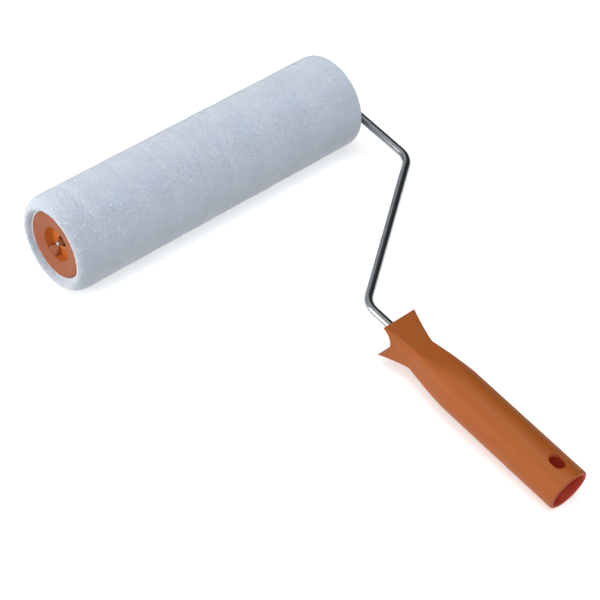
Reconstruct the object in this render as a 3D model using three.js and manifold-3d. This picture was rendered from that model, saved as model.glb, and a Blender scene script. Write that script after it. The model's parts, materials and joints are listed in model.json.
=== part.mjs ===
// Paint roller: a nap-covered cover that spins on a bent wire frame with a moulded socket handle.
// Millimetres, +Z up. The roller lies as it does on a table: on the nap and on the handle's butt.
//
// The working plane is laid out first, flat: X runs along the roller axis towards the bend of the
// wire, -Y from the roller towards the butt of the handle, and the axis of the roller is Y = Z = 0.
// The whole is then tilted about X until nap and butt touch the same level, and is stood on Z = 0.

import * as THREE from 'three';
import { mergeVertices } from 'three/addons/utils/BufferGeometryUtils.js';
import Module from 'manifold-3d';

const wasm = await Module();
wasm.setup();

// ---- driving dimensions ----

const GAP = 0.3; // between pieces that touch or are pressed together

const NAP = {
  radius: 34.25, // over the pile
  length: 249.2,
  outboardRound: 9.7, // the pile leans outwards at each end, more at the worn free end
  inboardRound: 6.5,
  brinkRound: 1.5, // where the end turns in towards the cap
  brinkFrom: 155, // degrees, the way the surface faces at the start and end of the brink
  brinkTo: 219,
  proud: 0.8, // how far the pile stands out of the cap's face at the bore
  outboardEnd: -137, // X of the free end
};

const CORE = { radius: 24, wall: 1.6 };

const CAP = {
  sunk: 3.4, // face below the end of the nap
  flangeRadius: 23.8,
  flange: 2,
  dishRadius: 20, // the face is flat outside this and dished inside it
  dish: 1.3,
  pocketRadius: 12.2,
  pocketDepth: 6.6,
  bossRadius: 6.3,
  bossDepth: 6, // from the face down to the front of the boss
  lip: 1.2, // the front of the boss, which keeps the bush in
  lipRadius: 3.9,
  wall: 1.8,
  spigotDepth: 14,
  hubDepth: 19,
  webAtBoss: 2, // width of the web, which spreads towards the wall of the pocket
  webAtWall: 9.5,
  webTurn: 112, // degrees, the web's turn about the roller axis
};

const BUSH = { radius: 4.7, bore: 3.3 };

const ROD = {
  radius: 3,
  freeEnd: -131.6, // X of the outboard end
  endRound: 1.6,
  legX: 116.3, // the leg that leaves the roller
  legEnd: 75.1, // how far that leg runs out, to the corner of the long diagonal
  handleLine: 157, // where the diagonal meets the tang's line, from the roller axis
  tangX: 0.8, // the tang sits a little off the middle of the handle
  firstBend: 9, // centre-line radius of the bend beside the roller
  bend: 15, // centre-line radius of the other bends
  tangEnd: 233, // how far the tang runs, from the roller axis
};

const EAR = { from: 214, to: 222, halfWidth: 5.2, thickness: 2.6 }; // flats that key the tang

const COLLAR = { radius: 6, thickness: 3.4, clear: 0.4 };
const WASHER = { radius: 6.6, thickness: 0.9, clear: 0.4 };

const HANDLE = {
  tips: 185.6, // distances from the roller axis
  waist: 209.4,
  bodyStart: 244,
  butt: 342.5,
  tipHalf: 13.8, // half sides of the square head and of its waist
  waistHalf: 9,
  tipCorner: 1,
  waistCorner: 2.6,
  bodyRadius: 15.45,
  buttRound: 1.3,
  flarePower: 1.25,
  scoopRadius: 15.3, // the hollow cut across the end of the head
  scoopDepth: 6.9,
};

const SOCKET = { mouthRadius: 12.9, endRadius: 11.8, end: 247, bottom: 241, bottomRadius: 7 };
const HANG_HOLE = { at: 328.2, length: 11.6, width: 8.6 };

const ROUND = { nap: 60, tube: 48, small: 24, rod: 16, handle: 48 }; // sides of the round pieces

// ---- finishes ----

const finish = (color, roughness, metalness = 0) =>
  new THREE.MeshStandardMaterial({ color, roughness, metalness });

const orangePlastic = finish(0xbe6a2c, 0.5);
const pile = finish(0xd3dade, 0.95);
const coreBoard = finish(0xd9d6cc, 0.6);
const plainSteel = finish(0xb2b7ba, 0.25, 1);
const acetal = finish(0xe6e4dc, 0.4);

// ---- solids and booleans ----

function toSolid(geometry) {
  const bare = geometry.clone();
  bare.deleteAttribute('normal');
  bare.deleteAttribute('uv');
  const merged = mergeVertices(bare, 1e-4);
  return new wasm.Manifold(new wasm.Mesh({
    numProp: 3,
    vertProperties: new Float32Array(merged.attributes.position.array),
    triVerts: new Uint32Array(merged.index.array),
  }));
}

function toGeometry(solid) {
  const mesh = solid.getMesh();
  const geometry = new THREE.BufferGeometry();
  geometry.setAttribute('position', new THREE.BufferAttribute(mesh.vertProperties, 3));
  geometry.setIndex(new THREE.BufferAttribute(mesh.triVerts, 1));
  geometry.computeVertexNormals();
  return geometry;
}

const points = (pairs) => pairs.map(([x, r]) => new THREE.Vector2(r, x));

// Turns a closed profile of (x along the roller axis, radius) pairs about the roller axis. The
// profile goes round so that the material lies on its left.
function turned(pairs, sides) {
  const loop = [...points(pairs), points(pairs)[0]];
  return new THREE.LatheGeometry(loop, sides).rotateZ(-Math.PI / 2);
}

function ring(from, to, inner, outer, sides) {
  return turned([[from, inner], [from, outer], [to, outer], [to, inner]], sides);
}

// Points of an arc in a profile, from one angle to another in degrees.
function arc(x, r, radius, fromDeg, toDeg, steps) {
  return Array.from({ length: steps + 1 }, (_, i) => {
    const a = THREE.MathUtils.degToRad(fromDeg + ((toDeg - fromDeg) * i) / steps);
    return [x + radius * Math.cos(a), r + radius * Math.sin(a)];
  });
}

// ---- the cover ----

const napInner = CORE.radius + GAP;
const napEnds = { outboard: NAP.outboardEnd, inboard: NAP.outboardEnd + NAP.length };
const capFace = {
  outboard: napEnds.outboard + CAP.sunk,
  inboard: napEnds.inboard - CAP.sunk,
};

// One end of the pile's profile, outside to bore: a large round over the end, a tight one at the
// brink, and a slope in to the cap. The way is 1 at the free end and -1 at the other.
function pileEnd(end, face, way, large) {
  const { radius, brinkRound, brinkFrom, brinkTo, proud } = NAP;
  const turn = (deg) => (way > 0 ? deg : 180 - deg);
  const start = THREE.MathUtils.degToRad(brinkFrom);
  const apart = large - brinkRound;
  const brinkX = end + way * brinkRound;
  return [
    ...arc(brinkX - way * apart * Math.cos(start), radius - large, large, 90, turn(brinkFrom), 6),
    ...arc(
      brinkX, radius - large + apart * Math.sin(start), brinkRound,
      turn(brinkFrom), turn(brinkTo), 4,
    ).slice(1),
    [face - way * proud, napInner],
  ];
}

function napSleeve() {
  return turned([
    ...pileEnd(napEnds.outboard, capFace.outboard, 1, NAP.outboardRound).reverse(),
    ...pileEnd(napEnds.inboard, capFace.inboard, -1, NAP.inboardRound),
  ], ROUND.nap);
}

function coreTube() {
  const clear = CAP.flange + GAP;
  return ring(
    capFace.outboard + clear, capFace.inboard - clear,
    CORE.radius - CORE.wall, CORE.radius, ROUND.tube,
  );
}

// An end cap with its face at x = 0 and its body towards +x: a flanged, dished face with a round
// pocket, a hub for the bush, and a web across the pocket that narrows and falls to the hub.
function endCap() {
  const spigot = CORE.radius - CORE.wall - GAP;
  const hubBore = BUSH.radius + GAP;
  const backOfFace = CAP.dish + CAP.wall;
  const backOfLip = CAP.bossDepth + CAP.lip;
  const edge = 0.5;
  const shell = toSolid(turned([
    [CAP.bossDepth, CAP.lipRadius],
    [CAP.bossDepth, CAP.bossRadius],
    [CAP.pocketDepth, CAP.bossRadius],
    [CAP.pocketDepth, CAP.pocketRadius],
    [CAP.dish, CAP.pocketRadius],
    [0, CAP.dishRadius],
    [0, CAP.flangeRadius - edge],
    [edge, CAP.flangeRadius],
    [CAP.flange, CAP.flangeRadius],
    [CAP.flange, spigot],
    [CAP.spigotDepth, spigot],
    [CAP.spigotDepth, spigot - CAP.wall],
    [backOfFace, spigot - CAP.wall],
    [backOfFace, CAP.pocketRadius + CAP.wall],
    [CAP.pocketDepth + CAP.wall, CAP.pocketRadius + CAP.wall],
    [CAP.pocketDepth + CAP.wall, hubBore + CAP.wall],
    [CAP.hubDepth, hubBore + CAP.wall],
    [CAP.hubDepth, hubBore],
    [backOfLip, hubBore],
    [backOfLip, CAP.lipRadius],
  ], ROUND.tube));

  const root = CAP.pocketDepth + CAP.wall / 2; // the web runs into floor and wall
  const reach = CAP.pocketRadius + CAP.wall / 2;
  const side = (sign) => {
    const outline = new THREE.Shape([
      new THREE.Vector2(root, sign * (CAP.bossRadius - GAP)),
      new THREE.Vector2(CAP.bossDepth, sign * (CAP.bossRadius - GAP)),
      new THREE.Vector2(CAP.dish + GAP, sign * CAP.pocketRadius),
      new THREE.Vector2(CAP.dish + GAP, sign * reach),
      new THREE.Vector2(root, sign * reach),
    ]);
    const half = new THREE.ExtrudeGeometry(outline, { depth: 1, bevelEnabled: false })
      .translate(0, 0, -0.5);
    const { position } = half.attributes;
    for (let i = 0; i < position.count; i++) {
      const share = (Math.abs(position.getY(i)) - CAP.bossRadius) / (reach - CAP.bossRadius);
      const width = THREE.MathUtils.lerp(CAP.webAtBoss, CAP.webAtWall, share);
      position.setZ(i, position.getZ(i) * width);
    }
    return half.rotateX(THREE.MathUtils.degToRad(CAP.webTurn));
  };
  return toGeometry(shell.add(toSolid(side(1))).add(toSolid(side(-1))));
}

function bush() {
  const front = CAP.bossDepth + CAP.lip + GAP;
  return ring(front, CAP.hubDepth, BUSH.bore, BUSH.radius, ROUND.small);
}

// ---- the wire frame ----

// The wire's centre line: straight runs joined by round bends, cut only where it bends.
class WirePath extends THREE.Curve {
  constructor(corners, bends, stepsPerBend) {
    super();
    const last = corners.length - 1;
    const heading = (i) => corners[i + 1].clone().sub(corners[i]).normalize();
    this.stations = [{ point: corners[0], tangent: heading(0) }];
    for (let i = 1; i < last; i++) {
      const before = heading(i - 1);
      const bend = bends[i - 1];
      const turn = before.angleTo(heading(i));
      const start = corners[i].clone().addScaledVector(before, -bend * Math.tan(turn / 2));
      const axis = before.clone().cross(heading(i)).normalize();
      const inward = axis.clone().cross(before);
      const centre = start.clone().addScaledVector(inward, bend);
      for (let k = 0; k <= stepsPerBend; k++) {
        const angle = (turn * k) / stepsPerBend;
        const spoke = inward.clone().negate().applyAxisAngle(axis, angle);
        this.stations.push({
          point: centre.clone().addScaledVector(spoke, bend),
          tangent: before.clone().applyAxisAngle(axis, angle),
        });
      }
    }
    this.stations.push({ point: corners[last], tangent: heading(last - 1) });
  }

  get steps() {
    return this.stations.length - 1;
  }

  station(t) {
    return this.stations[Math.round(t * this.steps)];
  }

  getUtoTmapping(u) {
    return u;
  }

  getPoint(t) {
    return this.station(t).point.clone();
  }

  getTangent(t) {
    return this.station(t).tangent.clone();
  }
}

function frameRod(radius, withEnds) {
  const at = (x, out) => new THREE.Vector3(x, -out, 0);
  const path = new WirePath([
    at(ROD.freeEnd + ROD.endRound, 0),
    at(ROD.legX, 0),
    at(ROD.legX, ROD.legEnd),
    at(ROD.tangX, ROD.handleLine),
    at(ROD.tangX, ROD.tangEnd),
  ], [ROD.firstBend, ROD.bend, ROD.bend], 6);
  const section = new THREE.Shape(new THREE.Path().absarc(0, 0, radius, 0, 2 * Math.PI)
    .getPoints(ROUND.rod).slice(1));
  const wire = toSolid(new THREE.ExtrudeGeometry(section, {
    extrudePath: path, steps: path.steps, bevelEnabled: false,
  }));
  const grow = radius - ROD.radius;
  const ears = toSolid(new THREE.BoxGeometry(
    2 * (EAR.halfWidth + grow), EAR.to - EAR.from + 2 * grow, EAR.thickness + 2 * grow,
  ).translate(ROD.tangX, -(EAR.from + EAR.to) / 2, 0));
  if (!withEnds) {
    return wire.add(ears);
  }
  const nose = toSolid(turned([
    [ROD.freeEnd, 0],
    ...arc(ROD.freeEnd + ROD.endRound, ROD.radius - ROD.endRound, ROD.endRound, 180, 90, 3),
    [ROD.freeEnd + 4 * ROD.endRound, ROD.radius],
    [ROD.freeEnd + 4 * ROD.endRound, 0],
  ], ROUND.rod));
  return wire.add(ears).add(nose);
}

function stopCollar() {
  const face = capFace.inboard - CAP.bossDepth + COLLAR.clear;
  return ring(face, face + COLLAR.thickness, ROD.radius + GAP, COLLAR.radius, ROUND.small);
}

function retainingWasher() {
  const face = capFace.inboard - CAP.hubDepth - WASHER.clear;
  return ring(face - WASHER.thickness, face, ROD.radius + GAP, WASHER.radius, ROUND.small);
}

// ---- the handle ----

// Half side and corner radius of the handle's section, at a distance from the roller axis: a
// square head that flares to its tips, a neck that swells and rounds off, and a round body.
function handleSection(out) {
  const { tips, waist, bodyStart, butt, bodyRadius, buttRound } = HANDLE;
  if (out < waist) {
    const flare = ((waist - out) / (waist - tips)) ** HANDLE.flarePower;
    return {
      half: HANDLE.waistHalf + (HANDLE.tipHalf - HANDLE.waistHalf) * flare,
      corner: HANDLE.waistCorner + (HANDLE.tipCorner - HANDLE.waistCorner) * flare,
    };
  }
  if (out < bodyStart) {
    const t = (out - waist) / (bodyStart - waist);
    const half = HANDLE.waistHalf + (bodyRadius - HANDLE.waistHalf) * t ** 1.1;
    const flat = (HANDLE.waistHalf - HANDLE.waistCorner) * (1 - t * t);
    return { half, corner: half - flat };
  }
  const past = THREE.MathUtils.clamp((out - butt) / buttRound + 1, 0, 1);
  const radius = bodyRadius - buttRound + buttRound * Math.sqrt(1 - past * past);
  return { half: radius, corner: radius };
}

function handleStations() {
  const { tips, waist, bodyStart, butt, buttRound } = HANDLE;
  const spread = (from, to, steps) =>
    Array.from({ length: steps }, (_, i) => from + ((to - from) * i) / steps);
  const edge = [0, 30, 60, 90].map((deg) =>
    butt - buttRound + buttRound * Math.sin(THREE.MathUtils.degToRad(deg)));
  return [...spread(tips, waist, 8), ...spread(waist, bodyStart, 8), bodyStart, ...edge];
}

function handleOutside() {
  const stations = handleStations();
  const half = Math.PI / ROUND.handle;
  const body = new THREE.CylinderGeometry(
    1, 1, 1, ROUND.handle, stations.length - 1, false, half,
  ).toNonIndexed();
  const position = body.attributes.position;
  for (let i = 0; i < position.count; i++) {
    const across = position.getX(i);
    const up = position.getZ(i);
    const step = Math.round((0.5 - position.getY(i)) * (stations.length - 1));
    const section = handleSection(stations[step]);
    const onRim = Math.hypot(across, up) > 0.5 ? 1 : 0;
    const flat = (section.half - section.corner) * onRim;
    position.setXYZ(
      i,
      Math.sign(across) * flat + across * section.corner,
      -stations[step],
      Math.sign(up) * flat + up * section.corner,
    );
  }
  return toSolid(body);
}

// The hollow across the end of the head: a cylinder that lies along X.
function headScoop() {
  const centre = HANDLE.tips + HANDLE.scoopDepth - HANDLE.scoopRadius;
  return toSolid(new THREE.CylinderGeometry(
    HANDLE.scoopRadius, HANDLE.scoopRadius, 4 * HANDLE.tipHalf, 2 * ROUND.tube,
  ).rotateZ(Math.PI / 2).translate(0, -centre, 0));
}

// The tapered socket for an extension pole, open at the butt.
function poleSocket() {
  const past = HANDLE.butt + 1;
  return toSolid(new THREE.LatheGeometry([
    new THREE.Vector2(0, -past),
    new THREE.Vector2(SOCKET.mouthRadius, -past),
    new THREE.Vector2(SOCKET.endRadius, -SOCKET.end),
    new THREE.Vector2(SOCKET.bottomRadius, -SOCKET.bottom),
    new THREE.Vector2(0, -SOCKET.bottom),
  ], ROUND.tube));
}

function hangingHole() {
  const radius = HANG_HOLE.width / 2;
  const reach = HANG_HOLE.length / 2 - radius;
  const slot = new THREE.Shape()
    .absarc(0, reach, radius, 0, Math.PI)
    .absarc(0, -reach, radius, Math.PI, 2 * Math.PI);
  const through = 3 * HANDLE.bodyRadius;
  return toSolid(new THREE.ExtrudeGeometry(slot, {
    depth: through, bevelEnabled: false, curveSegments: 10,
  }).translate(0, -HANG_HOLE.at, -through / 2));
}

function tangBore() {
  const bore = new THREE.CylinderGeometry(
    ROD.radius + GAP, ROD.radius + GAP, SOCKET.bottom - ROD.handleLine, ROUND.rod,
  ).translate(ROD.tangX, -(SOCKET.bottom + ROD.handleLine) / 2 - 1, 0);
  return toSolid(bore);
}

function handle() {
  return toGeometry(handleOutside()
    .subtract(headScoop())
    .subtract(poleSocket())
    .subtract(hangingHole())
    .subtract(tangBore())
    .subtract(frameRod(ROD.radius + GAP, false)));
}

// ---- the assembly ----

const roller = new THREE.Group();

function place(name, geometry, material, x = 0, facesOutboard = false) {
  const mesh = new THREE.Mesh(geometry, material);
  mesh.name = name;
  mesh.position.x = x;
  mesh.rotation.z = facesOutboard ? Math.PI : 0;
  roller.add(mesh);
}

place('nap_sleeve', napSleeve(), pile);
place('core_tube', coreTube(), coreBoard);
place('outboard_end_cap', endCap(), orangePlastic, capFace.outboard);
place('inboard_end_cap', endCap(), orangePlastic, capFace.inboard, true);
place('outboard_bush', bush(), acetal, capFace.outboard);
place('inboard_bush', bush(), acetal, capFace.inboard, true);
place('frame_rod', toGeometry(frameRod(ROD.radius, true)), plainSteel);
place('stop_collar', stopCollar(), plainSteel);
place('retaining_washer', retainingWasher(), plainSteel);
place('handle', handle(), orangePlastic);

// Tilts the roller until the nap and the edge of the butt touch one level.
const buttReach = HANDLE.butt - HANDLE.buttRound;
roller.rotation.x = Math.asin(NAP.radius / Math.hypot(buttReach, HANDLE.bodyRadius))
  - Math.atan2(HANDLE.bodyRadius, buttReach);

const model = new THREE.Group();
model.add(roller);
model.updateMatrixWorld(true);
const box = new THREE.Box3().setFromObject(roller, true);
const middle = box.getCenter(new THREE.Vector3());
model.position.set(-middle.x, -middle.y, -box.min.z);

export default model;
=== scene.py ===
"""A paint roller: pile cover on plastic end caps, bent wire frame and moulded handle.

Shapes are drawn in millimetres on a bench frame. Its X runs along the roller axis towards the
leg of the wire, -Y from the roller to the butt of the handle, and X = 0 is the handle's middle.
BENCH puts them in the row frame, in metres.
"""

import json
import math

import bmesh
import bpy
from mathutils import Matrix, Vector, noise


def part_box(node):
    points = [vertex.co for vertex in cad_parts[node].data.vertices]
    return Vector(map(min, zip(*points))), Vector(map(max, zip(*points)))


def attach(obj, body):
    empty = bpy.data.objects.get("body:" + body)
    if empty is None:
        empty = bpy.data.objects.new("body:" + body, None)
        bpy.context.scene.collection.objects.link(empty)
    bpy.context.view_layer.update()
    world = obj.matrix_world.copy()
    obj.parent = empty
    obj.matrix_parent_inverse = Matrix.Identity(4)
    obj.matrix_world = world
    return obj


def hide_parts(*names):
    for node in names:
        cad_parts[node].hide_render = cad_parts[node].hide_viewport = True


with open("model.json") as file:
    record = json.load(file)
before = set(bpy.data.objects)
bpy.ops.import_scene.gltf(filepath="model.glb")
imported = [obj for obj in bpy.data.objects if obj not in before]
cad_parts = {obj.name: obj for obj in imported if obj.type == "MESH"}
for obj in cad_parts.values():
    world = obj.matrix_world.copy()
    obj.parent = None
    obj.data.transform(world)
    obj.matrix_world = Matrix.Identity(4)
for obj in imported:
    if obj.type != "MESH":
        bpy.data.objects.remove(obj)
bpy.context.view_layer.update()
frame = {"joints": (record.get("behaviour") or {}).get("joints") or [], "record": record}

MM = 0.001


# ---- places that come from the frame ----

axle = frame["joints"][0]
butt_face = next(m for m in frame["record"]["mounts"] if m["name"] == "butt_face")
handle_low, handle_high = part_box("handle")
MIDDLE_X = (handle_low.x + handle_high.x) / 2
HANDLE_WAY = Vector(butt_face["axis"])
ORIGIN = Vector((MIDDLE_X, axle["pos_m"][1], axle["pos_m"][2]))
TILT = math.atan2(-HANDLE_WAY.z, -HANDLE_WAY.y)
BENCH = Matrix.Translation(ORIGIN) @ Matrix.Rotation(TILT, 4, "X") @ Matrix.Scale(MM, 4)


def span(node):
    """Lowest and highest X of a CAD node on the bench, in millimetres."""
    low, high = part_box(node)
    return (low.x - MIDDLE_X) / MM, (high.x - MIDDLE_X) / MM


def radius_of(node):
    """Outer radius in millimetres of a CAD node that is turned about the roller axis."""
    low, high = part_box(node)
    return (high.y - low.y) / 2 / MM


BUTT = (Vector(butt_face["pos_m"]) - ORIGIN).dot(HANDLE_WAY) / MM
NAP_FROM, NAP_TO = span("nap_sleeve")
NAP_RADIUS = radius_of("nap_sleeve")
CORE_FROM, CORE_TO = span("core_tube")
CAP_FACE = {"outboard": span("outboard_end_cap")[0], "inboard": span("inboard_end_cap")[1]}
ROD_FROM, ROD_TO = span("frame_rod")
COLLAR = span("stop_collar")
WASHER = span("retaining_washer")


# ---- sizes in millimetres ----

WIRE = 3.0  # radius of the wire
FIT = 0.3  # clearance between pieces that are pressed together
BENDS = (9.0, 15.0, 15.0)  # centre-line radii of the wire's bends, from the roller on
NOSE, TIP, TIP_ROUND = 7.5, 1.4, 0.8  # length, end radius and rounding of the tapered free end
LEG_END = 75.1
TANG_START = 157.0
TANG_END = 233.0
TANG_X = 0.8
EARS = (214.0, 222.0)  # the stretch of the tang that is swaged flat
EAR_WIDE, EAR_THIN = 5.2, 1.3  # half width and half thickness there
EAR_FADE = 4.0  # length over which the tang goes from round to flat

CORE_RADIUS, CORE_WALL = 24.0, 1.6
BUSH_RADIUS, BUSH_BORE = 4.7, 3.3
HUB_DEPTH, SPIGOT_DEPTH = 19.0, 14.0
LIP, LIP_RADIUS = 1.2, 3.9  # the front of the boss, which keeps the bush in
BOSS_RADIUS, BOSS_DEPTH = 6.3, 6.0
POCKET_RADIUS, POCKET_DEPTH = 12.2, 6.6
CAP_WALL = 1.8
FLANGE_RADIUS, FLANGE = 23.8, 2.0
DISH_RADIUS, DISH = 20.0, 1.3
WEB_AT_BOSS, WEB_AT_WALL = 2.0, 9.5  # width of the web, which spreads towards the wall
WEB_TOP = 0.5  # how far the web's high end lies below the dish
WEB_TURN = math.radians(112)

TIPS, WAIST, BODY_START = 185.6, 209.4, 244.0
TIP_HALF, WAIST_HALF, BODY_RADIUS = 13.8, 9.0, 15.45
TIP_CORNER, WAIST_CORNER = 1.0, 2.6
FLARE_POWER = 1.25
SCOOP_RADIUS, SCOOP_DEPTH = 15.3, 6.9
BUTT_ROUND, RIM_ROUND, MOUTH_ROUND = 1.3, 0.5, 0.7
BUTT_SLANT = math.tan(math.radians(4))  # the butt is cut a little off square
SOCKET_MOUTH, SOCKET_END_RADIUS, SOCKET_BOTTOM_RADIUS = 12.9, 11.8, 7.0
SOCKET_END, SOCKET_BOTTOM = 247.0, 241.0
HOLE_AT, HOLE_LENGTH, HOLE_WIDTH = 328.2, 11.6, 8.6

PILE_ROUND = {"outboard": 9.7, "inboard": 6.5}
BRINK_ROUND, BRINK = 1.5, (155, 219)  # where the pile's end turns in, and the ways it faces
PILE_SUNK = 1.0  # how far the bed that the tufts stand on lies below the nap's surface
BED_INSET, BED_RISE = 0.6, 1.0  # the bed's edge, in from the cap's face and out from the bore
TUFT_LENGTH, TUFT_RADIUS = 1.1, 0.4
TUFTS_PER_MM2 = 5.0
TUFT_LEAN, TUFT_SPREAD = 0.7, 0.25  # how far neighbours lean together, and each one by itself
FIRST_SEED = 11
PILE_BANDS = 8
WRAP_PITCH = 28.0  # pitch of the helix that the pile strip is wound on
WRAP_HEIGHT, LUMP_HEIGHT, LUMP_SIZE = 0.35, 0.12, 3.0  # unevenness of the wound strip and pile

SIDES = 128

POCKET_GLOW, SOCKET_GLOW = 0.3, 0.07  # light that has passed through the walls into the hollows


# ---- materials ----


def linear(hexes):
    """A linear RGBA colour from an sRGB hex string."""
    parts = [int(hexes[i:i + 2], 16) / 255 for i in (0, 2, 4)]
    return (*(c / 12.92 if c <= 0.04045 else ((c + 0.055) / 1.055) ** 2.4 for c in parts), 1.0)


def add(tree, kind, links=None, **settings):
    """Adds a node, sets its properties, and links or sets its inputs."""
    node = tree.nodes.new(kind)
    for key, value in settings.items():
        setattr(node, key, value)
    for key, value in (links or {}).items():
        socket = node.inputs[key] if isinstance(key, int) else next(
            s for s in node.inputs if s.name == key and s.enabled)
        if isinstance(value, bpy.types.NodeSocket):
            tree.links.new(value, socket)
        else:
            socket.default_value = value
    return node


def new_material(name):
    """An empty node material with its output, its Object coordinates and its shader."""
    material = bpy.data.materials.new(name)
    material.use_nodes = True
    tree = material.node_tree
    tree.nodes.clear()
    place = add(tree, "ShaderNodeTexCoord").outputs["Object"]
    shader = add(tree, "ShaderNodeBsdfPrincipled")
    add(tree, "ShaderNodeOutputMaterial", {"Surface": shader.outputs["BSDF"]})
    return material, tree, place, shader


def set_inputs(shader, values):
    """Sets a shader's inputs that are the same all over the surface."""
    for name, value in values.items():
        shader.inputs[name].default_value = value


def moulded_polypropylene():
    """Orange polypropylene, injection moulded in a spark-eroded tool: satin, with a soft broad
    highlight, faint flow clouds and a fine grain that is drawn coarser than the real 0.1 mm.
    Light that has passed through the walls makes its hollows glow, deep red in the handle. The
    faces of the caps, but not their pockets, are mixed towards a greyer tone that stands for pale
    dust and for a painted sheen where the faces catch the light."""
    material, tree, place, shader = new_material("moulded_polypropylene_orange")
    clouds = add(tree, "ShaderNodeTexNoise", {"Vector": place, "Scale": 45.0, "Detail": 3.0})
    grain = add(tree, "ShaderNodeTexNoise", {"Vector": place, "Scale": 2200.0, "Detail": 2.0})
    hollow = add(tree, "ShaderNodeAttribute", attribute_name="hollow")
    glow = add(tree, "ShaderNodeAttribute", attribute_name="glow")
    # dust and painted sheen: the cap faces are mixed towards a greyer, paler tone, partly pale
    # dust and partly a painted sheen of the light they catch
    dust_and_sheen = add(tree, "ShaderNodeAttribute", attribute_name="dust_and_sheen")
    skin = add(tree, "ShaderNodeMix", {
        "Factor": clouds.outputs["Fac"], "A": linear("A4541B"), "B": linear("AB5B1F"),
    }, data_type="RGBA")
    dust_and_sheen_mix = add(tree, "ShaderNodeMix", {
        "Factor": dust_and_sheen.outputs["Fac"], "A": skin.outputs["Result"], "B": linear("96512F"),
    }, data_type="RGBA")
    colour = add(tree, "ShaderNodeMix", {
        "Factor": hollow.outputs["Fac"], "A": dust_and_sheen_mix.outputs["Result"], "B": linear("BC4630"),
    }, data_type="RGBA")
    rough = add(tree, "ShaderNodeMapRange", {
        "Value": clouds.outputs["Fac"], "To Min": 0.46, "To Max": 0.56})
    bump = add(tree, "ShaderNodeBump", {
        "Height": grain.outputs["Fac"], "Strength": 0.12, "Distance": 0.05 * MM})
    tree.links.new(colour.outputs["Result"], shader.inputs["Base Color"])
    tree.links.new(colour.outputs["Result"], shader.inputs["Emission Color"])
    tree.links.new(glow.outputs["Fac"], shader.inputs["Emission Strength"])
    tree.links.new(rough.outputs["Result"], shader.inputs["Roughness"])
    tree.links.new(bump.outputs["Normal"], shader.inputs["Normal"])
    set_inputs(shader, {"IOR": 1.49, "Specular IOR Level": 0.3, "Subsurface Weight": 0.1,
                        "Subsurface Scale": 1.5 * MM})
    return material


def polyester_pile():
    """White polyester pile: each tuft is matt, and tufts differ slightly in tone. The strip is
    wound on a helix, which shows as faint slanting bands."""
    material, tree, place, shader = new_material("polyester_pile_white")
    tuft = add(tree, "ShaderNodeAttribute", attribute_name="tone")
    mottle = add(tree, "ShaderNodeTexNoise", {"Vector": place, "Scale": 70.0, "Detail": 3.0})
    both = add(tree, "ShaderNodeMath", {0: mottle.outputs["Fac"], 1: tuft.outputs["Fac"]},
               operation="ADD")
    tone = add(tree, "ShaderNodeMapRange", {"Value": both.outputs["Value"], "From Max": 2.0})
    colour = add(tree, "ShaderNodeMix", {
        "Factor": tone.outputs["Result"], "A": linear("E3EAF4"), "B": linear("F3F7FE"),
    }, data_type="RGBA")
    tree.links.new(colour.outputs["Result"], shader.inputs["Base Color"])
    set_inputs(shader, {"Roughness": 0.95, "Specular IOR Level": 0.05})
    return material


def bright_zinc_wire():
    """Drawn steel wire with bright zinc plating: a near mirror, dulled a little in faint blotches."""
    material, tree, place, shader = new_material("bright_zinc_wire")
    blotch = add(tree, "ShaderNodeTexNoise", {"Vector": place, "Scale": 160.0, "Detail": 4.0})
    colour = add(tree, "ShaderNodeMix", {
        "Factor": blotch.outputs["Fac"], "A": linear("A9AEB1"), "B": linear("C4C8CA"),
    }, data_type="RGBA")
    rough = add(tree, "ShaderNodeMapRange", {
        "Value": blotch.outputs["Fac"], "To Min": 0.14, "To Max": 0.26})
    tree.links.new(colour.outputs["Result"], shader.inputs["Base Color"])
    tree.links.new(rough.outputs["Result"], shader.inputs["Roughness"])
    set_inputs(shader, {"Metallic": 1.0})
    return material


def plain_plastic(name, dark, light, roughness):
    """A smooth, unpainted moulded or extruded plastic with faint clouding."""
    material, tree, place, shader = new_material(name)
    clouds = add(tree, "ShaderNodeTexNoise", {"Vector": place, "Scale": 80.0, "Detail": 3.0})
    colour = add(tree, "ShaderNodeMix", {
        "Factor": clouds.outputs["Fac"], "A": linear(dark), "B": linear(light),
    }, data_type="RGBA")
    tree.links.new(colour.outputs["Result"], shader.inputs["Base Color"])
    set_inputs(shader, {"Roughness": roughness})
    return material


ORANGE = moulded_polypropylene()
PILE = polyester_pile()
ZINC = bright_zinc_wire()
ACETAL = plain_plastic("moulded_acetal_black", "1B1B1C", "262627", 0.35)
TUBE_PLASTIC = plain_plastic("extruded_polypropylene_white", "D2D2CC", "E0E0DB", 0.5)


# ---- mesh helpers ----


def piece(name, points, faces, material, body, node=None, sharp=35):
    """A finished piece from bench points: placed, smooth-shaded and riding on its body."""
    mesh = bpy.data.meshes.new(name)
    mesh.from_pydata([BENCH @ Vector(p) for p in points], [], faces)
    return finished(mesh, name, material, body, node, sharp)


def finished(mesh, name, material, body, node=None, sharp=35):
    """Gives a placed mesh outward faces and sharp edges, and hands it to the frame."""
    work = bmesh.new()
    work.from_mesh(mesh)
    bmesh.ops.remove_doubles(work, verts=work.verts, dist=1e-7)
    bmesh.ops.recalc_face_normals(work, faces=work.faces)
    for face in work.faces:
        face.smooth = True
    for edge in work.edges:
        edge.smooth = not (edge.is_manifold and edge.calc_face_angle() > math.radians(sharp))
    work.to_mesh(mesh)
    work.free()
    mesh.materials.clear()
    mesh.materials.append(material)
    shown = bpy.data.objects.new(name, mesh)
    bpy.context.scene.collection.objects.link(shown)
    if node:
        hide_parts(node)
    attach(shown, body)
    return shown


def net(rows, columns, closed_rows=False):
    """Quads of a net of points, joined round each row and, if asked, from last row to first."""
    last = rows if closed_rows else rows - 1
    return [
        (r * columns + c, r * columns + (c + 1) % columns,
         (r + 1) % rows * columns + (c + 1) % columns, (r + 1) % rows * columns + c)
        for r in range(last) for c in range(columns)
    ]


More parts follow.
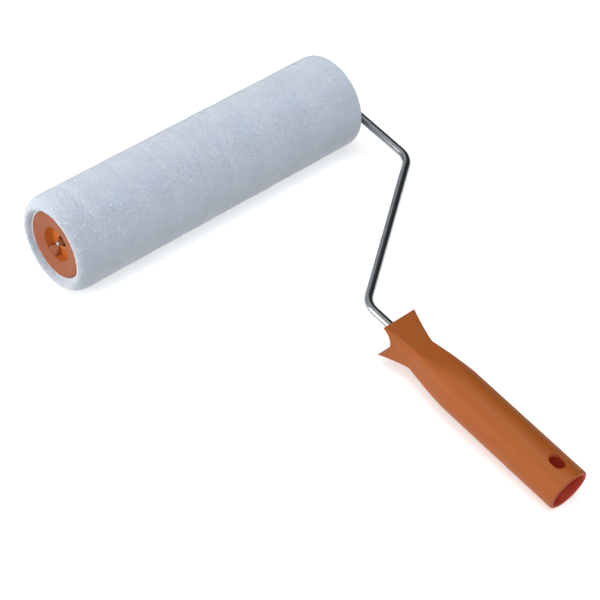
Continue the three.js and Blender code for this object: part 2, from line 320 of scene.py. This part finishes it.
def arc(x, y, radius, start, stop, steps):
    """Points of an arc from one angle to another, in degrees."""
    angles = [math.radians(start + (stop - start) * i / steps) for i in range(steps + 1)]
    return [(x + radius * math.cos(a), y + radius * math.sin(a)) for a in angles]


def rounded(corners, steps=4):
    """A closed outline from (x, y, rounding) corners, with an arc at each rounded corner."""
    outline = []
    for i, (x, y, radius) in enumerate(corners):
        here = Vector((x, y))
        back = (Vector(corners[i - 1][:2]) - here).normalized()
        on = (Vector(corners[(i + 1) % len(corners)][:2]) - here).normalized()
        if radius == 0 or abs(back.dot(on)) > 0.999:
            outline.append((x, y))
            continue
        half = back.angle(on) / 2
        centre = here + (back + on).normalized() * (radius / math.sin(half))
        first = here + back * (radius / math.tan(half)) - centre
        turn = first.angle_signed(here + on * (radius / math.tan(half)) - centre)
        for k in range(steps + 1):
            spoke = Matrix.Rotation(-turn * k / steps, 2) @ first
            outline.append(tuple(centre + spoke))
    return outline


def turned_net(profile, sides=SIDES):
    """Points of (x, radius) profile rows turned about the roller axis."""
    points = []
    for x, radius in profile:
        for side in range(sides):
            angle = 2 * math.pi * side / sides
            points.append((x, radius * math.cos(angle), radius * math.sin(angle)))
    return points


def turned(name, profile, material, body, node, sides=SIDES):
    """A piece turned about the roller axis from a closed profile."""
    points = turned_net(profile, sides)
    return piece(name, points, net(len(profile), sides, True), material, body, node)


def plain_mesh(holder, name):
    """The evaluated mesh of an object, freed from its modifiers, as a new plain mesh."""
    graph = bpy.context.evaluated_depsgraph_get()
    mesh = bpy.data.meshes.new_from_object(holder.evaluated_get(graph))
    mesh.name = name
    bpy.data.objects.remove(holder)
    return mesh


def mark(mesh, name, values):
    """Stores one number per point for a material to read."""
    mesh.attributes.new(name, "FLOAT", "POINT").data.foreach_set("value", values)


def holder_of(name, points, faces):
    """A scratch object on the bench that only carries modifiers."""
    mesh = bpy.data.meshes.new(name)
    mesh.from_pydata(points, [], faces)
    work = bmesh.new()
    work.from_mesh(mesh)
    bmesh.ops.recalc_face_normals(work, faces=work.faces)
    work.to_mesh(mesh)
    work.free()
    holder = bpy.data.objects.new(name, mesh)
    bpy.context.scene.collection.objects.link(holder)
    return holder


def cut_or_join(holder, others, operation):
    """Adds boolean modifiers that join the others to the holder or cut them from it."""
    for other in others:
        modifier = holder.modifiers.new(other.name, "BOOLEAN")
        modifier.operation = operation
        modifier.solver = "EXACT"
        modifier.object = other


# ---- the pile ----


def pile_end(end, face, way, large):
    """One end of the bed that the tufts stand on, outside to bore: a large round over the end, a
    tight one at its brink, and a slope in to the cap. The way is 1 at the free end, -1 at the
    other."""
    start, stop = (a if way > 0 else 180 - a for a in BRINK)
    lean = math.radians(BRINK[0])
    high, apart = NAP_RADIUS - large, large - BRINK_ROUND
    brink_x = end + way * BRINK_ROUND
    return [
        *arc(brink_x - way * apart * math.cos(lean), high, large - PILE_SUNK, 90, start, 10),
        *arc(brink_x, high + apart * math.sin(lean), BRINK_ROUND - PILE_SUNK, start, stop, 6)[1:],
        (face + way * BED_INSET, CORE_RADIUS + FIT + BED_RISE),
    ]


def pile_profile(step):
    """The bed from the outboard cap, up over the sleeve, and down to the inboard cap."""
    outboard, inboard = CAP_FACE["outboard"], CAP_FACE["inboard"]
    bed = [
        *reversed(pile_end(NAP_FROM, outboard, 1, PILE_ROUND["outboard"])),
        *pile_end(NAP_TO, inboard, -1, PILE_ROUND["inboard"]),
    ]
    fine = [bed[0]]
    for (x0, r0), (x1, r1) in zip(bed, bed[1:]):
        count = max(1, round(math.hypot(x1 - x0, r1 - r0) / step))
        fine += [(x0 + (x1 - x0) * k / count, r0 + (r1 - r0) * k / count)
                 for k in range(1, count + 1)]
    return fine


def wrap(x, y, z):
    """How far a spot lies towards the middle of the wound strip, from about -1 to 1."""
    turn = math.atan2(z, y) + 2 * math.pi * x / WRAP_PITCH
    reach, drift = 1.3, 45  # noise cells that one turn goes round, and mm for one cell along
    return noise.noise(Vector((reach * math.cos(turn), reach * math.sin(turn), x / drift)))


def pile_skin(profile, sides):
    """Points of the bed with its soft unevenness."""
    points = []
    for x, y, z in turned_net(profile, sides):
        lump = noise.noise(Vector((x, y, z)) / LUMP_SIZE)
        swell = LUMP_HEIGHT * lump + WRAP_HEIGHT * wrap(x, y, z)
        grow = 1 + swell / math.hypot(y, z)
        points.append((x, y * grow, z * grow))
    return points


def tuft_tree():
    """Geometry Nodes that stand short pointed tufts all over a surface."""
    tree = bpy.data.node_groups.new("pile_tufts", "GeometryNodeTree")
    face = tree.interface
    face.new_socket("Geometry", in_out="INPUT", socket_type="NodeSocketGeometry")
    for name, kind in (("Density", "Float"), ("Tuft length", "Float"), ("Tuft radius", "Float"),
                       ("Lean", "Float"), ("Spread", "Float"), ("Seed", "Int"),
                       ("Material", "Material")):
        face.new_socket(name, in_out="INPUT", socket_type="NodeSocket" + kind)
    face.new_socket("Geometry", in_out="OUTPUT", socket_type="NodeSocketGeometry")
    given = add(tree, "NodeGroupInput").outputs

    scattered = add(tree, "GeometryNodeDistributePointsOnFaces", {
        "Mesh": given["Geometry"], "Density": given["Density"], "Seed": given["Seed"]})
    tuft = add(tree, "GeometryNodeMeshCone", {
        "Vertices": 3, "Radius Top": 0.0,
        "Radius Bottom": given["Tuft radius"], "Depth": given["Tuft length"]})
    away = add(tree, "FunctionNodeRandomValue", {
        "Min": (-1.0, -1.0, -1.0), "Max": (1.0, 1.0, 1.0), "Seed": given["Seed"]},
        data_type="FLOAT_VECTOR")
    spread = add(tree, "ShaderNodeVectorMath", {
        0: away.outputs["Value"], "Scale": given["Spread"]}, operation="SCALE")
    swirl = add(tree, "ShaderNodeTexNoise", {"Scale": 0.09, "Detail": 1.0})
    centred = add(tree, "ShaderNodeVectorMath", {
        0: swirl.outputs["Color"], 1: (0.5, 0.5, 0.5)}, operation="SUBTRACT")
    lean = add(tree, "ShaderNodeVectorMath", {
        0: centred.outputs["Vector"], "Scale": given["Lean"]}, operation="SCALE")
    bent = add(tree, "ShaderNodeVectorMath", {
        0: spread.outputs["Vector"], 1: lean.outputs["Vector"]}, operation="ADD")
    way = add(tree, "ShaderNodeVectorMath", {
        0: scattered.outputs["Normal"], 1: bent.outputs["Vector"]}, operation="ADD")
    turn = add(tree, "FunctionNodeAlignRotationToVector", {"Vector": way.outputs["Vector"]})
    size = add(tree, "FunctionNodeRandomValue", {
        "Min": 0.85, "Max": 1.15, "Seed": given["Seed"]}, data_type="FLOAT")
    stood = add(tree, "GeometryNodeInstanceOnPoints", {
        "Points": scattered.outputs["Points"], "Instance": tuft.outputs["Mesh"],
        "Rotation": turn.outputs["Rotation"], "Scale": size.outputs["Value"]})
    band = add(tree, "GeometryNodeInputNamedAttribute", {"Name": "band"}, data_type="FLOAT")
    speck = add(tree, "FunctionNodeRandomValue", {
        "Min": -0.3, "Max": 0.3, "Seed": given["Seed"]}, data_type="FLOAT")
    tone = add(tree, "ShaderNodeMath", {
        0: band.outputs["Attribute"], 1: speck.outputs["Value"]}, operation="ADD")
    toned = add(tree, "GeometryNodeStoreNamedAttribute", {
        "Geometry": stood.outputs["Instances"], "Name": "tone",
        "Value": tone.outputs["Value"]}, domain="INSTANCE", data_type="FLOAT")
    real = add(tree, "GeometryNodeRealizeInstances", {"Geometry": toned.outputs["Geometry"]})
    painted = add(tree, "GeometryNodeSetMaterial", {
        "Geometry": real.outputs["Geometry"], "Material": given["Material"]})
    add(tree, "NodeGroupOutput", {"Geometry": painted.outputs["Geometry"]})
    return tree


def set_modifier(modifier, values):
    """Sets a Geometry Nodes modifier's inputs through their identifiers."""
    for item in modifier.node_group.interface.items_tree:
        if item.in_out == "INPUT" and item.name in values:
            modifier[item.identifier] = values[item.name]


def pile_body():
    """The closed body of the pile, which the tufts stand on."""
    profile, sides = pile_profile(1.0), 240
    bore = [(x, CORE_RADIUS + FIT) for x in (profile[-1][0], profile[0][0])]
    points = pile_skin(profile, sides) + turned_net(bore, sides)
    mesh_rows = len(profile) + len(bore)
    shown = piece("pile_body", points, net(mesh_rows, sides, True), PILE, "cover",
                  "nap_sleeve", sharp=80)
    mark(shown.data, "tone", [0.5] * len(shown.data.vertices))


def pile_tufts():
    """The tufts, in bands along the sleeve, each a plain mesh."""
    tree = tuft_tree()
    profile, sides = pile_profile(1.5), 144
    per_band = math.ceil((len(profile) - 1) / PILE_BANDS)
    for band in range(PILE_BANDS):
        rows = profile[band * per_band:(band + 1) * per_band + 1]
        holder = holder_of("pile_tufts", pile_skin(rows, sides), net(len(rows), sides))
        mark(holder.data, "band", [0.5 + 0.5 * wrap(*v.co) for v in holder.data.vertices])
        if sum(f.normal.dot(f.center - Vector((f.center.x, 0, 0))) for f in
               holder.data.polygons) < 0:
            holder.data.flip_normals()
        modifier = holder.modifiers.new("tufts", "NODES")
        modifier.node_group = tree
        set_modifier(modifier, {
            "Density": TUFTS_PER_MM2, "Tuft length": TUFT_LENGTH, "Tuft radius": TUFT_RADIUS,
            "Lean": TUFT_LEAN, "Spread": TUFT_SPREAD, "Seed": FIRST_SEED + band,
            "Material": PILE})
        mesh = plain_mesh(holder, f"pile_tufts_{band + 1}")
        mesh.transform(BENCH)
        mesh.shade_smooth()
        shown = bpy.data.objects.new(mesh.name, mesh)
        bpy.context.scene.collection.objects.link(shown)
        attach(shown, "cover")


# ---- the rest of the cover ----


def ring_profile(start, stop, inner, outer, rounding):
    """A plain ring's profile with a small round on every edge."""
    return rounded([(start, inner, rounding), (start, outer, rounding),
                    (stop, outer, rounding), (stop, inner, rounding)])


def core_tube():
    """The tube that carries the pile."""
    profile = ring_profile(CORE_FROM, CORE_TO, CORE_RADIUS - CORE_WALL, CORE_RADIUS, 0.2)
    turned("core", profile, TUBE_PLASTIC, "cover", "core_tube")


def end_cap(side):
    """An end cap: a dished face, a round pocket with a web across it, a spigot and a hub."""
    face = CAP_FACE[side]
    way = 1 if side == "outboard" else -1
    spigot = CORE_RADIUS - CORE_WALL - FIT
    hub_bore = BUSH_RADIUS + FIT
    back = DISH + CAP_WALL
    outline = rounded([
        (BOSS_DEPTH, LIP_RADIUS, 0.3),
        (BOSS_DEPTH, BOSS_RADIUS, 0.4),
        (POCKET_DEPTH, BOSS_RADIUS, 0.3),
        (POCKET_DEPTH, POCKET_RADIUS, 0.5),
        (DISH, POCKET_RADIUS, 0.6),
        (0, DISH_RADIUS, 2.0),
        (0, FLANGE_RADIUS, 0.7),
        (FLANGE, FLANGE_RADIUS, 0.3),
        (FLANGE, spigot, 0),
        (SPIGOT_DEPTH, spigot, 0.4),
        (SPIGOT_DEPTH, spigot - CAP_WALL, 0.4),
        (back, spigot - CAP_WALL, 0.4),
        (back, POCKET_RADIUS + CAP_WALL, 0.4),
        (POCKET_DEPTH + CAP_WALL, POCKET_RADIUS + CAP_WALL, 0.4),
        (POCKET_DEPTH + CAP_WALL, hub_bore + CAP_WALL, 0.4),
        (HUB_DEPTH, hub_bore + CAP_WALL, 0.4),
        (HUB_DEPTH, hub_bore, 0.3),
        (BOSS_DEPTH + LIP, hub_bore, 0),
        (BOSS_DEPTH + LIP, LIP_RADIUS, 0.3),
    ])
    profile = [(face + way * x, radius) for x, radius in outline]
    shell = holder_of("cap", turned_net(profile), net(len(profile), SIDES, True))
    webs = [web(face, way, sign) for sign in (1, -1)]
    cut_or_join(shell, webs, "UNION")
    name = f"{side}_cap"
    mesh = plain_mesh(shell, name)
    for one in webs:
        bpy.data.objects.remove(one)
    # the dish and the web's top get the greyer tone of dust and painted sheen; the pocket gets
    # none
    dust_and_sheen = [float(way * (v.co.x - face) < DISH + WEB_TOP or on_web(v.co, face, way))
             for v in mesh.vertices]
    mark(mesh, "dust_and_sheen", dust_and_sheen)
    mark(mesh, "glow", [POCKET_GLOW * (1 - d) for d in dust_and_sheen])
    mesh.transform(BENCH)
    finished(mesh, name, ORANGE, "cover", f"{side}_end_cap", sharp=30)


def web_width(radius):
    """Width of the web at a distance from the roller axis."""
    share = (radius - BOSS_RADIUS) / (POCKET_RADIUS - BOSS_RADIUS)
    return WEB_AT_BOSS + (WEB_AT_WALL - WEB_AT_BOSS) * share


def on_web(spot, face, way):
    """Whether a point of a cap lies on the upper side of its web."""
    turned_back = Matrix.Rotation(-way * WEB_TURN, 3, "X") @ spot
    radius, across = abs(turned_back.y), abs(turned_back.z)
    past_ends, past_sides, below = 0.5, 0.1, 0.3  # how far off a point may be and still count
    return (BOSS_RADIUS - past_ends < radius < POCKET_RADIUS + past_ends
            and across < web_width(radius) / 2 + past_sides
            and way * (spot.x - face) < BOSS_DEPTH + below)


def web(face, way, sign):
    """Half of the web across a cap's pocket: high and wide at the wall, low at the boss."""
    root = POCKET_DEPTH + CAP_WALL / 2
    reach = POCKET_RADIUS + CAP_WALL / 2
    outline = rounded([
        (root, BOSS_RADIUS - FIT, 0),
        (BOSS_DEPTH, BOSS_RADIUS - FIT, 0),
        (DISH + WEB_TOP, POCKET_RADIUS - 0.4, 1.0),
        (DISH + WEB_TOP, reach, 0),
        (root, reach, 0),
    ])
    turn = Matrix.Rotation(way * WEB_TURN, 3, "X")
    points = [
        tuple(turn @ Vector((face + way * x, sign * radius, edge * web_width(radius))))
        for edge in (-0.5, 0.5) for x, radius in outline
    ]
    count = len(outline)
    faces = [(i, (i + 1) % count, count + (i + 1) % count, count + i) for i in range(count)]
    faces += [tuple(range(count)), tuple(range(count, 2 * count))]
    half = holder_of("web", points, faces)
    bevel = half.modifiers.new("edge", "BEVEL")
    bevel.width, bevel.segments, bevel.limit_method = 0.35, 3, "ANGLE"
    return half


def bush(side):
    """The plain sleeve bearing in a cap's hub."""
    way = 1 if side == "outboard" else -1
    front = CAP_FACE[side] + way * (BOSS_DEPTH + LIP + FIT)
    ends = sorted((front, CAP_FACE[side] + way * HUB_DEPTH))
    turned(f"{side}_bearing", ring_profile(*ends, BUSH_BORE, BUSH_RADIUS, 0.25), ACETAL,
           "cover", f"{side}_bush", 64)


# ---- the wire frame ----


def wire_line():
    """Stations along the wire, as (place, heading), with every bend cut into short steps."""
    corners = [Vector(c) for c in (
        (ROD_FROM, 0, 0), (ROD_TO - WIRE, 0, 0), (ROD_TO - WIRE, -LEG_END, 0),
        (TANG_X, -TANG_START, 0), (TANG_X, -TANG_END, 0))]
    stations = []
    for before, here, after, bend in zip(corners, corners[1:], corners[2:], BENDS):
        coming, going = (here - before).normalized(), (after - here).normalized()
        turn = coming.angle(going)
        axis = coming.cross(going).normalized()
        start = here - coming * (bend * math.tan(turn / 2))
        centre = start + axis.cross(coming) * bend
        steps = max(6, round(math.degrees(turn) / 5))
        for k in range(steps + 1):
            swing = Matrix.Rotation(turn * k / steps, 3, axis)
            stations.append((centre + swing @ (start - centre), swing @ coming))
    first, last = corners[0], corners[-1]
    way_in, way_out = Vector((1, 0, 0)), Vector((0, -1, 0))
    tip = arc(TIP_ROUND, TIP - TIP_ROUND, TIP_ROUND, 170, 106, 6)
    taper = [(NOSE - 1, WIRE - 0.15), (NOSE, WIRE - 0.03), (NOSE + 1, WIRE)]
    nose = [(first + way_in * x, way_in, radius) for x, radius in (*tip, *taper)]
    shaft = [(place, way, WIRE) for place, way in stations]
    ears = [(Vector((TANG_X, -out, 0)), way_out, WIRE) for out in range(205, 232)]
    return [*nose, *shaft, *ears, (last, way_out, WIRE)]


def flattened(out):
    """How the tang's section is squashed at a distance from the roller axis: (wide, thin)."""
    start, stop = EARS
    share = (min(1, max(0, (out - start + EAR_FADE) / EAR_FADE))
             * min(1, max(0, (stop + EAR_FADE - out) / EAR_FADE)))
    soft = share * share * (3 - 2 * share)
    return WIRE + (EAR_WIDE - WIRE) * soft, WIRE + (EAR_THIN - WIRE) * soft


def frame_wire():
    """The bent wire: nose, axle, leg, diagonal and tang in one piece."""
    sides = 40
    rows = wire_line()
    points = []
    for place, way, radius in rows:
        on_tang = abs(place.x - TANG_X) < 0.01
        wide, thin = flattened(-place.y) if on_tang else (radius, radius)
        across = Vector((0, 0, 1)).cross(way)
        for side in range(sides):
            angle = 2 * math.pi * side / sides
            rise = Vector((0, 0, thin * math.sin(angle)))
            points.append(tuple(place + across * (wide * math.cos(angle)) + rise))
    faces = net(len(rows), sides)
    faces += [tuple(range(sides)), tuple(range(len(points) - sides, len(points)))]
    piece("wire", points, faces, ZINC, "frame", "frame_rod", sharp=40)


def stop_ring(name, node, ends, rounding):
    """A steel ring on the axle."""
    profile = ring_profile(*ends, WIRE + FIT, radius_of(node), rounding)
    turned(name, profile, ZINC, "frame", node, 64)


# ---- the handle ----


def section(out):
    """Half side and corner radius of the handle at a distance from the roller axis."""
    if out < WAIST:
        flare = ((WAIST - out) / (WAIST - TIPS)) ** FLARE_POWER
        return (WAIST_HALF + (TIP_HALF - WAIST_HALF) * flare,
                WAIST_CORNER + (TIP_CORNER - WAIST_CORNER) * flare)
    if out < BODY_START:
        share = (out - WAIST) / (BODY_START - WAIST)
        half = WAIST_HALF + (BODY_RADIUS - WAIST_HALF) * share ** 1.1
        flat = (WAIST_HALF - WAIST_CORNER) * (1 - share * share)
        return half, half - flat
    past = min(1, max(0, (out - BUTT) / BUTT_ROUND + 1))
    radius = BODY_RADIUS - BUTT_ROUND + BUTT_ROUND * math.sqrt(1 - past * past)
    return radius, radius


def section_point(angle, out, inset=0.0):
    """A point of the handle's outline on the ray at one angle, as (x, z)."""
    half, corner = section(out)
    c, s = math.cos(angle), math.sin(angle)
    big, small = max(abs(c), abs(s)), min(abs(c), abs(s))
    flat = half - corner
    if half * small <= flat * big:
        reach = half / big
    else:
        along = flat * (big + small)
        reach = along + math.sqrt(along * along - 2 * flat * flat + corner * corner)
    return (reach - inset) * c, (reach - inset) * s


def ray_angles(per_side):
    """Angles round the handle that crowd together at the four corners."""
    angles = []
    for side in range(4):
        for k in range(per_side):
            share = (k + 0.5) / per_side * 2 - 1
            lean = math.copysign(abs(share) ** 1.7, share)
            angles.append(math.pi / 4 * (1 + lean) + side * math.pi / 2)
    return angles


def scoop(z):
    """Distance from the roller axis of the hollow end of the head, at a height."""
    middle = TIPS + SCOOP_DEPTH - SCOOP_RADIUS
    return max(TIPS, middle + math.sqrt(max(0.0, SCOOP_RADIUS ** 2 - z * z)))


def head_rims(angles):
    """Where the outside of the head meets its hollow end, as a distance for each angle."""
    rims = []
    for angle in angles:
        out = TIPS
        for _ in range(12):
            out = scoop(section_point(angle, out)[1])
        rims.append(out)
    return rims


def slanted(out, z):
    """A distance from the roller axis, changed near the butt so that the butt leans."""
    return out + z * BUTT_SLANT * min(1, max(0, (out - BUTT + 10) / 10))


def handle_rows(angles):
    """Rows of points round the handle: outside from butt to head, over the hollow end, down the
    tang's bore, and out along the socket to the butt."""
    rows = []
    edge = [BUTT - BUTT_ROUND + BUTT_ROUND * math.sin(math.radians(a)) for a in range(90, -1, -10)]
    body = [BUTT - 4 - 2.5 * k for k in range(int((BUTT - 4 - WAIST) / 2.5))]
    for out in [*edge, *body, WAIST]:
        rows.append([(x, -slanted(out, z), z)
                     for x, z in (section_point(a, out) for a in angles)])

    rims = head_rims(angles)
    for k in range(1, 16):
        row = []
        for angle, rim in zip(angles, rims):
            out = WAIST + (rim + RIM_ROUND - WAIST) * k / 15
            x, z = section_point(angle, out)
            row.append((x, -out, z))
        rows.append(row)
    for turn in range(15, 91, 15):
        row = []
        rise, inset = (RIM_ROUND * math.sin(math.radians(turn)),
                       RIM_ROUND * (1 - math.cos(math.radians(turn))))
        for angle, rim in zip(angles, rims):
            x, z = section_point(angle, rim, inset)
            row.append((x, rise - rim - RIM_ROUND, z))
        rows.append(row)

    def bore(out, grow):
        wide, thin = flattened(out)
        return [(TANG_X + (wide + grow) * math.cos(a), -out, (thin + grow) * math.sin(a))
                for a in angles]

    brink = rows[-1]
    mouth = bore(TANG_START, 2 * FIT)
    for k in range(1, 11):
        row = []
        for (x, _, z), (bx, _, bz) in zip(brink, mouth):
            px, pz = x + (bx - x) * k / 10, z + (bz - z) * k / 10
            row.append((px, -scoop(pz), pz))
        rows.append(row)
    for out in [200, 206, *range(209, 228), 233, SOCKET_BOTTOM]:
        rows.append(bore(out, FIT))

    taper_end = BUTT - MOUTH_ROUND
    steps = [(SOCKET_BOTTOM_RADIUS, SOCKET_BOTTOM), (SOCKET_END_RADIUS, SOCKET_END)]
    steps += [(SOCKET_END_RADIUS + (SOCKET_MOUTH - SOCKET_END_RADIUS) * k / 24,
               SOCKET_END + (taper_end - SOCKET_END) * k / 24) for k in range(1, 25)]
    steps += [(SOCKET_MOUTH + MOUTH_ROUND * (1 - math.cos(math.radians(a))),
               taper_end + MOUTH_ROUND * math.sin(math.radians(a))) for a in range(18, 91, 18)]
    for radius, out in steps:
        rows.append([(radius * math.cos(a), -slanted(out, radius * math.sin(a)),
                      radius * math.sin(a)) for a in angles])
    return rows


def hole_cutter(way):
    """A plug that cuts one side of the hanging hole with a round lip that follows the body."""
    lip = 0.8
    half = HOLE_WIDTH / 2
    reach = HOLE_LENGTH / 2 - half
    levels = [(BODY_RADIUS - 5, 0.0), (BODY_RADIUS - lip, 0.0)]
    levels += [(BODY_RADIUS - lip + lip * math.sin(math.radians(a)),
                lip * (1 - math.cos(math.radians(a)))) for a in (20, 40, 60, 75)]
    levels.append((BODY_RADIUS + 1.5, lip + 0.6))
    around = 64
    points = []
    for level, grow in levels:
        for k in range(around):
            angle = 2 * math.pi * (k + 0.5) / around
            x = (half + grow) * math.cos(angle)
            y = math.copysign(reach, math.sin(angle)) + (half + grow) * math.sin(angle)
            points.append((x, -HOLE_AT + y, way * math.sqrt(level ** 2 - x * x)))
    faces = net(len(levels), around)
    faces += [tuple(range(around)), tuple(range(len(points) - around, len(points)))]
    return holder_of("hole", points, faces)


def handle():
    """The hollow handle in one moulding, with rounded rims and a hanging hole."""
    angles = ray_angles(44)
    rows = handle_rows(angles)
    points = [p for row in rows for p in row]
    shell = holder_of("shell", points, net(len(rows), len(angles), True))
    cutters = [hole_cutter(1), hole_cutter(-1)]
    cut_or_join(shell, cutters, "DIFFERENCE")
    mesh = plain_mesh(shell, "grip")
    for one in cutters:
        bpy.data.objects.remove(one)
    inside = BODY_RADIUS - 1.2
    hollow = [float(-v.co.y > SOCKET_BOTTOM - 1 and math.hypot(v.co.x, v.co.z) < inside)
              for v in mesh.vertices]
    mark(mesh, "hollow", hollow)
    mark(mesh, "glow", [SOCKET_GLOW * h for h in hollow])
    mesh.transform(BENCH)
    finished(mesh, "grip", ORANGE, "frame", "handle", sharp=50)


# ---- the studio ----


def soft_light(name, place, size, power, colour):
    """A square soft box aimed at the middle of the object."""
    light = bpy.data.lights.new(name, "AREA")
    light.shape, light.size, light.energy, light.color = "SQUARE", size, power, colour
    lamp = bpy.data.objects.new(name, light)
    lamp.location = place
    lamp.rotation_euler = (-Vector(place)).to_track_quat("-Z", "Y").to_euler()
    lamp.visible_camera = False
    bpy.context.scene.collection.objects.link(lamp)


def studio():
    """A pale floor that is lit from below where the camera sees it, soft boxes overhead and to
    the left, and a pale room with a dark side."""
    reach = 6.0
    corners = [(-reach, -reach, 0), (reach, -reach, 0), (reach, reach, 0), (-reach, reach, 0)]
    floor_mesh = bpy.data.meshes.new("floor")
    floor_mesh.from_pydata(corners, [], [(0, 1, 2, 3)])
    material, tree, _, shader = new_material("pale_paper")
    seen = add(tree, "ShaderNodeLightPath").outputs["Is Camera Ray"]
    lit = add(tree, "ShaderNodeMapRange", {"Value": seen, "To Min": 0.24, "To Max": 0.5})
    tree.links.new(lit.outputs["Result"], shader.inputs["Emission Strength"])
    set_inputs(shader, {"Base Color": linear("F2F2F2"), "Roughness": 0.9,
                        "Emission Color": linear("FFFFFF")})
    floor_mesh.materials.append(material)
    floor = bpy.data.objects.new("floor", floor_mesh)
    bpy.context.scene.collection.objects.link(floor)

    soft_light("overhead", (-0.2, -0.3, 1.9), 1.3, 22, (0.9, 0.95, 1.0))
    soft_light("left", (-0.9, 0.45, 0.25), 0.4, 4.0, (1.0, 0.98, 0.93))

    world = bpy.data.worlds.new("studio")
    bpy.context.scene.world = world
    world.use_nodes = True
    tree = world.node_tree
    tree.nodes.clear()
    way = add(tree, "ShaderNodeTexCoord").outputs["Generated"]
    dark_side = Vector((0.9, 0.0, 0.4)).normalized()
    toward = add(tree, "ShaderNodeVectorMath", {0: way, 1: dark_side}, operation="DOT_PRODUCT")
    light = add(tree, "ShaderNodeMapRange", {
        "Value": toward.outputs["Value"], "From Min": 0.35, "From Max": 0.8,
        "To Min": 0.63, "To Max": 0.05}, interpolation_type="SMOOTHSTEP")
    back = add(tree, "ShaderNodeBackground", {"Strength": light.outputs["Result"]})
    add(tree, "ShaderNodeOutputWorld", {"Surface": back.outputs["Background"]})


def camera():
    """The camera, at the viewing angle of the photograph."""
    lens = bpy.data.cameras.new("camera")
    lens.lens = 132.4
    view = bpy.data.objects.new("camera", lens)
    view.location = ORIGIN + Vector((-0.76249, -0.80082, 1.02426))
    view.rotation_euler = [math.radians(a) for a in (43.640, -5.164, -41.955)]
    bpy.context.scene.collection.objects.link(view)
    bpy.context.scene.camera = view


# ---- the roller ----

pile_body()
pile_tufts()
core_tube()
for cap_side in ("outboard", "inboard"):
    end_cap(cap_side)
    bush(cap_side)
frame_wire()
stop_ring("collar", "stop_collar", COLLAR, 0.4)
stop_ring("washer", "retaining_washer", WASHER, 0.2)
handle()
studio()
camera()
bpy.context.scene.view_settings.view_transform = "Standard"
